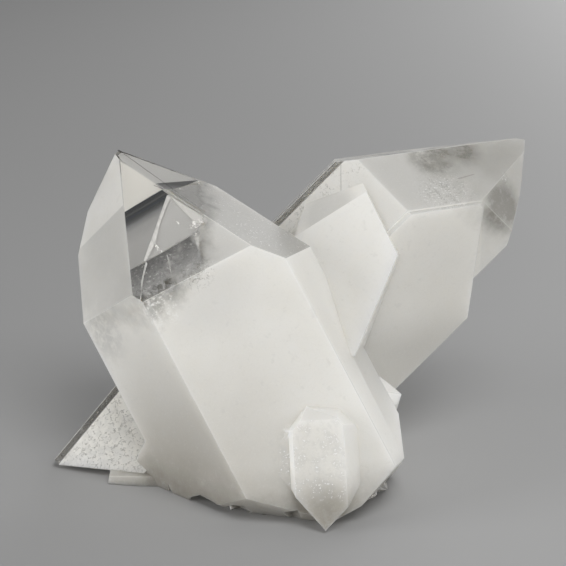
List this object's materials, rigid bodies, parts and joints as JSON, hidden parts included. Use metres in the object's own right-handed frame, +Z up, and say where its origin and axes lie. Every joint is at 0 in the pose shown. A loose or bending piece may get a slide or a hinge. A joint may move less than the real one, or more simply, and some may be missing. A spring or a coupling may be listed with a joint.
{
  "type": "quartz crystal cluster",
  "caption": "Clear quartz cluster: two large leaning six-sided points and smaller crystals grown together on a milky root, cut flat underneath to stand as a display piece.",
  "frame": {"origin": "middle of the bounding box at the flat underside", "axes": "+Z up from the flat underside, +X towards the right-hand point and -Y towards the side with the small front crystal"},
  "size_m": [0.114, 0.0936, 0.0747],
  "materials": {
    "quartz": "polished"
  },
  "bodies": {
    "root": {"quartz_cluster": "quartz"}
  },
  "joints": []
}
